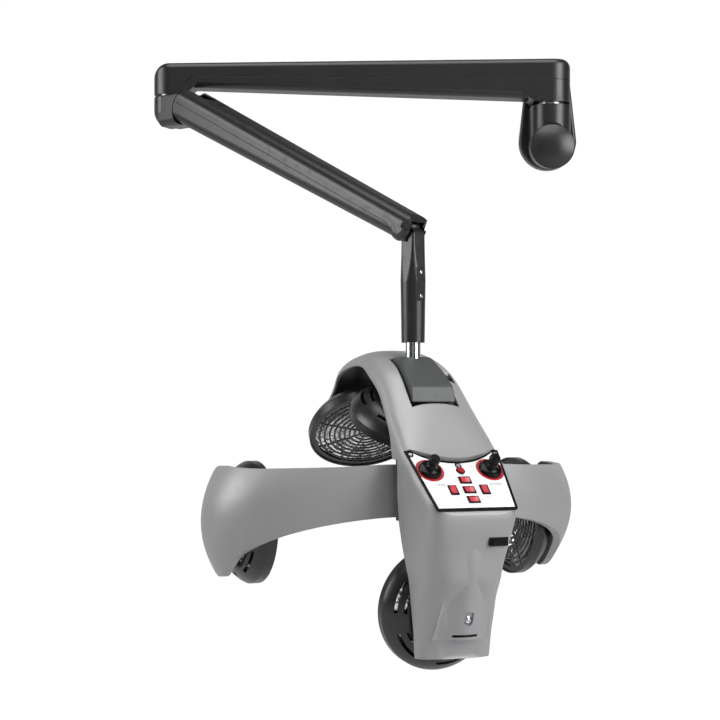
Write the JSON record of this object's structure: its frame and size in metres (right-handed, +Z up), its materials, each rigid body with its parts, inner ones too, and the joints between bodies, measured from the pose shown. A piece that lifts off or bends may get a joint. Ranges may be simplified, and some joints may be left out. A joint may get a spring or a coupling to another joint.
{
  "type": "hair color processor",
  "caption": "Wall-mounted infrared hair colour processor: a jointed swing arm carries a curved spine and hinged wings with round slotted lamps around the head.",
  "frame": {"origin": "on the wall face of the wall plate, at the centre of its four screw holes and of the bracket's round end", "axes": "+X to the right along the wall, +Y into the wall, +Z up; the whole part stands out from the wall towards -Y"},
  "size_m": [0.825, 0.8161, 1.1057],
  "materials": {
    "arm_paint": "satin charcoal",
    "steel": "plain steel",
    "bright_steel": "turned steel",
    "chrome_tube": "polished",
    "bush_plastic": "natural",
    "hub_plastic": "satin dark grey",
    "shell_plastic": "satin mid grey",
    "liner_plastic": "dark grey",
    "knob_plastic": "black",
    "panel_white": "white",
    "rocker_red": "red lens",
    "lens_green": "pale lens",
    "lamp_plastic": "black",
    "grille_wire": "black",
    "heater_metal": "polished reflector"
  },
  "bodies": {
    "wall_mount": {"wall_plate": "steel", "wall_bracket": "arm_paint", "centre_bolt": "bright_steel", "dome_cap": "arm_paint", "wall_spindle": "bright_steel", "wall_washer": "bright_steel"},
    "upper_arm": {"upper_arm_cover": "arm_paint", "upper_arm_base": "arm_paint", "upper_arm_beam": "steel", "arm_bushes": "bush_plastic"},
    "knuckle": {"knuckle": "arm_paint", "elbow_spindle": "bright_steel", "elbow_washer": "bright_steel"},
    "lower_arm": {"lower_arm_cover": "arm_paint", "lower_arm_base": "arm_paint", "lower_arm_beam": "steel", "arm_pins": "bright_steel", "strut_tube": "steel"},
    "strut_rod": {"strut_rod": "bright_steel"},
    "link_rod": {"link_rod": "steel"},
    "post": {"post": "arm_paint", "post_cover_plate": "arm_paint"},
    "neck": {"neck_tube": "chrome_tube", "neck_block": "steel", "hub_cover": "hub_plastic", "tilt_pin": "bright_steel"},
    "tilt_knob": {"tilt_knob": "knob_plastic"},
    "spine": {"spine_shell": "shell_plastic", "spine_liner": "liner_plastic", "yoke_frame": "steel", "wing_pins": "bright_steel", "panel_plate": "panel_white", "panel_bezels": "knob_plastic", "spine_screws": "bright_steel", "nape_bowl": "lamp_plastic", "nape_grille": "grille_wire", "crown_bowl": "lamp_plastic", "crown_grille": "grille_wire", "fore_bowl": "lamp_plastic", "fore_grille": "grille_wire", "spine_heaters": "heater_metal"},
    "left_wing": {"left_wing_shell": "shell_plastic", "left_wing_liner": "liner_plastic", "left_bowl": "lamp_plastic", "left_grille": "grille_wire", "left_heater": "heater_metal"},
    "right_wing": {"right_wing_shell": "shell_plastic", "right_wing_liner": "liner_plastic", "right_bowl": "lamp_plastic", "right_grille": "grille_wire", "right_heater": "heater_metal"},
    "timer_dial": {"timer_dial": "knob_plastic"},
    "heat_dial": {"heat_dial": "knob_plastic"},
    "reset_button": {"reset_button": "lens_green"},
    "mains_rocker": {"mains_rocker": "knob_plastic"},
    "rocker_top": {"rocker_top": "rocker_red"},
    "rocker_left": {"rocker_left": "rocker_red"},
    "rocker_middle": {"rocker_middle": "rocker_red"},
    "rocker_right": {"rocker_right": "rocker_red"},
    "rocker_bottom": {"rocker_bottom": "rocker_red"}
  },
  "joints": [
    {"name": "wall_swivel", "type": "hinge", "parent": "wall_mount", "child": "upper_arm", "pos_m": [0, -0.09, 0.06], "axis": [0, 0, 1], "range_deg": [0, 150]},
    {"name": "elbow_swivel", "type": "hinge", "parent": "upper_arm", "child": "knuckle", "pos_m": [-0.735, -0.09, 0.08], "axis": [0, 0, 1], "range_deg": [-125, 40]},
    {"name": "arm_lift", "type": "hinge", "parent": "knuckle", "child": "lower_arm", "pos_m": [-0.67983, -0.14793, 0.0425], "axis": [0.7242, 0.6896, 0], "range_deg": [-20, 20]},
    {"name": "link_swing", "type": "hinge", "parent": "knuckle", "child": "link_rod", "pos_m": [-0.67983, -0.14793, 0.0555], "axis": [0.7242, 0.6896, 0], "range_deg": [-20, 20]},
    {"name": "post_level", "type": "hinge", "parent": "lower_arm", "child": "post", "pos_m": [-0.28826, -0.55912, -0.21387], "axis": [0.7242, 0.6896, 0], "range_deg": [-20, 20]},
    {"name": "strut_stroke", "type": "slide", "parent": "lower_arm", "child": "strut_rod", "axis": [0.6285, -0.66, -0.4115], "range_m": [-0.008, 0.008]},
    {"name": "head_swivel", "type": "hinge", "parent": "post", "child": "neck", "pos_m": [-0.27999, -0.56781, -0.41687], "axis": [0, 0, 1], "range_deg": [-90, 90]},
    {"name": "head_tilt", "type": "hinge", "parent": "neck", "child": "spine", "pos_m": [-0.26697, -0.59705, -0.48187], "axis": [0.9135, 0.4067, 0], "range_deg": [-6, 8]},
    {"name": "tilt_knob_turn", "type": "hinge", "parent": "spine", "child": "tilt_knob", "pos_m": [-0.26697, -0.59705, -0.48187], "axis": [0.9135, 0.4067, 0], "range_deg": [-90, 90]},
    {"name": "left_wing_swing", "type": "hinge", "parent": "spine", "child": "left_wing", "pos_m": [-0.30225, -0.67515, -0.65687], "axis": [0, 0, 1], "range_deg": [-8, 20]},
    {"name": "right_wing_swing", "type": "hinge", "parent": "spine", "child": "right_wing", "pos_m": [-0.18532, -0.62309, -0.65687], "axis": [0, 0, -1], "range_deg": [-8, 20]},
    {"name": "timer_turn", "type": "hinge", "parent": "spine", "child": "timer_dial", "pos_m": [-0.25826, -0.7506, -0.62446], "axis": [0.281, -0.6312, 0.723], "range_deg": [-150, 150]},
    {"name": "heat_turn", "type": "hinge", "parent": "spine", "child": "heat_dial", "pos_m": [-0.15868, -0.70627, -0.62446], "axis": [0.281, -0.6312, 0.723], "range_deg": [-150, 150]},
    {"name": "rocker_top_tip", "type": "hinge", "parent": "spine", "child": "rocker_top", "pos_m": [-0.2012, -0.74477, -0.63933], "axis": [-0.2941, 0.6605, 0.6909], "range_deg": [-6, 6]},
    {"name": "rocker_left_tip", "type": "hinge", "parent": "spine", "child": "rocker_left", "pos_m": [-0.2207, -0.77054, -0.65425], "axis": [0.9135, 0.4067, 0], "range_deg": [-6, 6]},
    {"name": "rocker_middle_tip", "type": "hinge", "parent": "spine", "child": "rocker_middle", "pos_m": [-0.19485, -0.75903, -0.65425], "axis": [-0.2941, 0.6605, 0.6909], "range_deg": [-6, 6]},
    {"name": "rocker_right_tip", "type": "hinge", "parent": "spine", "child": "rocker_right", "pos_m": [-0.169, -0.74752, -0.65425], "axis": [0.9135, 0.4067, 0], "range_deg": [-6, 6]},
    {"name": "rocker_bottom_tip", "type": "hinge", "parent": "spine", "child": "rocker_bottom", "pos_m": [-0.1885, -0.7733, -0.66918], "axis": [-0.2941, 0.6605, 0.6909], "range_deg": [-6, 6]},
    {"name": "mains_rocker_tip", "type": "hinge", "parent": "spine", "child": "mains_rocker", "pos_m": [-0.14784, -0.76381, -0.73687], "axis": [0.019, -0.0293, 0.9994], "range_deg": [-4, 4]},
    {"name": "reset_press", "type": "slide", "parent": "spine", "child": "reset_button", "axis": [-0.281, 0.6312, -0.723], "range_m": [0, 0.0012], "stiffness_N_per_m": 60, "springref_m": -0.002}
  ],
  "couplings": [
    {"joint": "link_swing", "follows": "arm_lift", "ratio": 1},
    {"joint": "post_level", "follows": "arm_lift", "ratio": -1},
    {"joint": "strut_stroke", "follows": "arm_lift", "m_per_rad": 0.0145}
  ]
}
